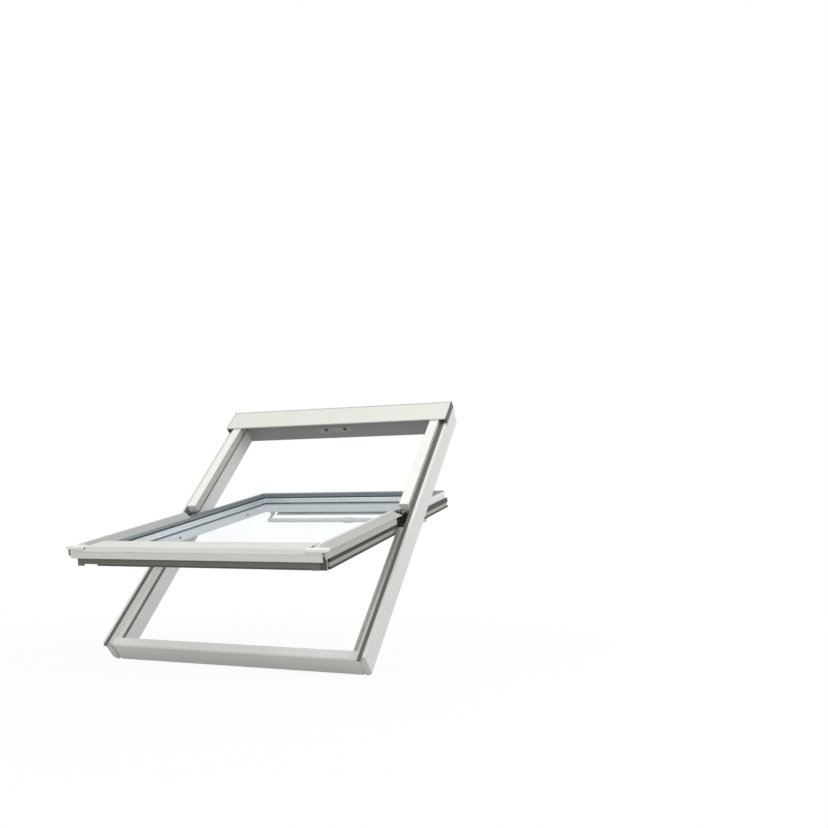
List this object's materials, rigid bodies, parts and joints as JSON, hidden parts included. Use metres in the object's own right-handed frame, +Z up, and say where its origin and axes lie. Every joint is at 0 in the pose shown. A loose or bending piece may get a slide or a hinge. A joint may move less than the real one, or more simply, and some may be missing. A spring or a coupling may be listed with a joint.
{
  "type": "centre-pivot roof window",
  "caption": "Centre-pivot roof window with its frame, covers, double glazing, control bar, ventilation flap and latch, the sash turned open for airing",
  "frame": {"origin": "middle of the flat lower face of the frame's bottom rail", "axes": "+X to the right seen from outside, +Y into the house, +Z up; the frame leans back at 45 degrees"},
  "size_m": [0.784, 0.9598, 0.7577],
  "materials": {
    "frame_coat": "white coating over a timber core",
    "sash_coat": "white coating over a timber core",
    "cover": "cream coated sheet",
    "skirt": "grey coated sheet",
    "profile": "light coated extrusion",
    "trim": "dark grey coated sheet",
    "seal": "matt",
    "bead": "matt, blue-grey",
    "hinge_black": "black coated",
    "steel": "zinc plated",
    "glass": "clear",
    "spacer": "dark coated",
    "white_plastic": "smooth",
    "bar_metal": "white coated tube",
    "filter": "open foam"
  },
  "bodies": {
    "frame": {"frame_left_jamb": "frame_coat", "frame_right_jamb": "frame_coat", "frame_top_rail": "frame_coat", "frame_bottom_rail": "frame_coat", "sill_profile": "profile", "left_edge_strip": "seal", "right_edge_strip": "seal", "left_edge_profile": "profile", "right_edge_profile": "profile", "left_jamb_seal": "seal", "right_jamb_seal": "seal", "top_rail_seal": "seal", "left_upper_cover": "cover", "right_upper_cover": "cover", "top_casing": "cover", "casing_left_cap": "seal", "casing_right_cap": "seal", "striker_plate": "steel", "left_hinge_bracket": "hinge_black", "right_hinge_bracket": "hinge_black", "left_hinge_pin": "steel", "right_hinge_pin": "steel", "left_friction_disc": "steel", "right_friction_disc": "steel"},
    "sash": {"sash_left_stile": "sash_coat", "sash_right_stile": "sash_coat", "sash_top_rail": "sash_coat", "sash_bottom_rail": "sash_coat", "bottom_cover": "cover", "left_lower_cover": "cover", "right_lower_cover": "cover", "left_side_skirt": "skirt", "right_side_skirt": "skirt", "left_upper_trim": "trim", "right_upper_trim": "trim", "sash_top_cover": "trim", "bottom_seal": "seal", "drip_seal": "seal", "left_side_seal": "seal", "right_side_seal": "seal", "glass_sealant": "seal", "inner_gasket": "seal", "accessory_plugs": "seal", "glazing_bead": "bead", "left_hinge_arm": "hinge_black", "right_hinge_arm": "hinge_black", "lock_case": "steel", "outer_pane": "glass", "inner_pane": "glass", "glass_spacer": "spacer", "left_corner_cap": "white_plastic", "right_corner_cap": "white_plastic", "left_bar_bracket": "white_plastic", "right_bar_bracket": "white_plastic", "air_filters": "filter"},
    "bar": {"control_bar": "bar_metal", "bar_grip": "white_plastic"},
    "flap": {"ventilation_flap": "white_plastic"},
    "latch": {"latch_bolts": "steel"}
  },
  "joints": [
    {"name": "sash_pivot", "type": "hinge", "parent": "frame", "child": "sash", "pos_m": [0, 0.30618, 0.38537], "axis": [1, 0, 0], "range_deg": [-120.5, 34.5]},
    {"name": "bar_turn", "type": "hinge", "parent": "sash", "child": "bar", "pos_m": [0, 0.72484, 0.39279], "axis": [1, 0, 0], "range_deg": [-25, 0]},
    {"name": "flap_turn", "type": "hinge", "parent": "sash", "child": "flap", "pos_m": [0, 0.74306, 0.39871], "axis": [1, 0, 0], "range_deg": [-15, 0]},
    {"name": "latch_slide", "type": "slide", "parent": "sash", "child": "latch", "axis": [0, 0.9833, 0.1822], "range_m": [0, 0.012]}
  ],
  "couplings": [
    {"joint": "flap_turn", "follows": "bar_turn", "ratio": 0.6},
    {"joint": "latch_slide", "follows": "bar_turn", "m_per_rad": -0.0275}
  ]
}
